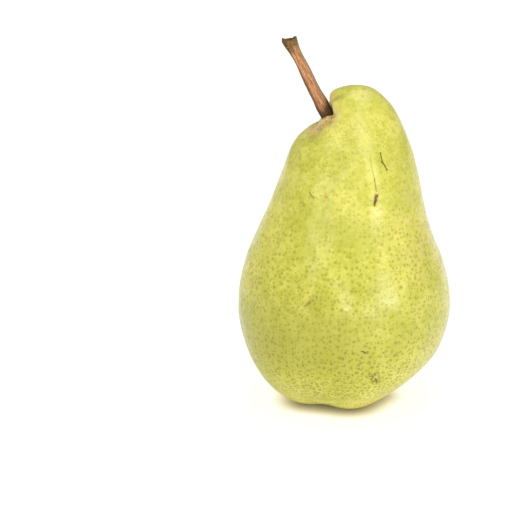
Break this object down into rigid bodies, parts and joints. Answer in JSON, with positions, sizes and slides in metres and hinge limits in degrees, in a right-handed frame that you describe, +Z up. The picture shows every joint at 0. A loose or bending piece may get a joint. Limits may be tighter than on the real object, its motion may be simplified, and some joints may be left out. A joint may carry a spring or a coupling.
{
  "type": "pear",
  "caption": "Whole fresh European pear with a leaning woody stem, a bumpy green-yellow skin, a one-sided head lobe and a dried blossom in the hollow underneath.",
  "frame": {"origin": "on the surface the pear rests on, at the middle of its outline", "axes": "+Z up through the pear from its blossom end to its stem, +X to the side that its head leans to, -Y to the front"},
  "size_m": [0.0688, 0.0678, 0.1183],
  "materials": {
    "skin": "waxy, soft sheen, green-yellow with small green dots",
    "stem_wood": "dry brown bark with fine lengthwise ridges",
    "dried_sepal": "dry, dark brown, matte",
    "dried_stamen": "dry, blackish brown, matte"
  },
  "bodies": {
    "root": {"pear_body": "skin", "stem": "stem_wood", "sepal_1": "dried_sepal", "sepal_2": "dried_sepal", "sepal_3": "dried_sepal", "sepal_4": "dried_sepal", "sepal_5": "dried_sepal", "dried_stamens": "dried_stamen"}
  },
  "joints": []
}
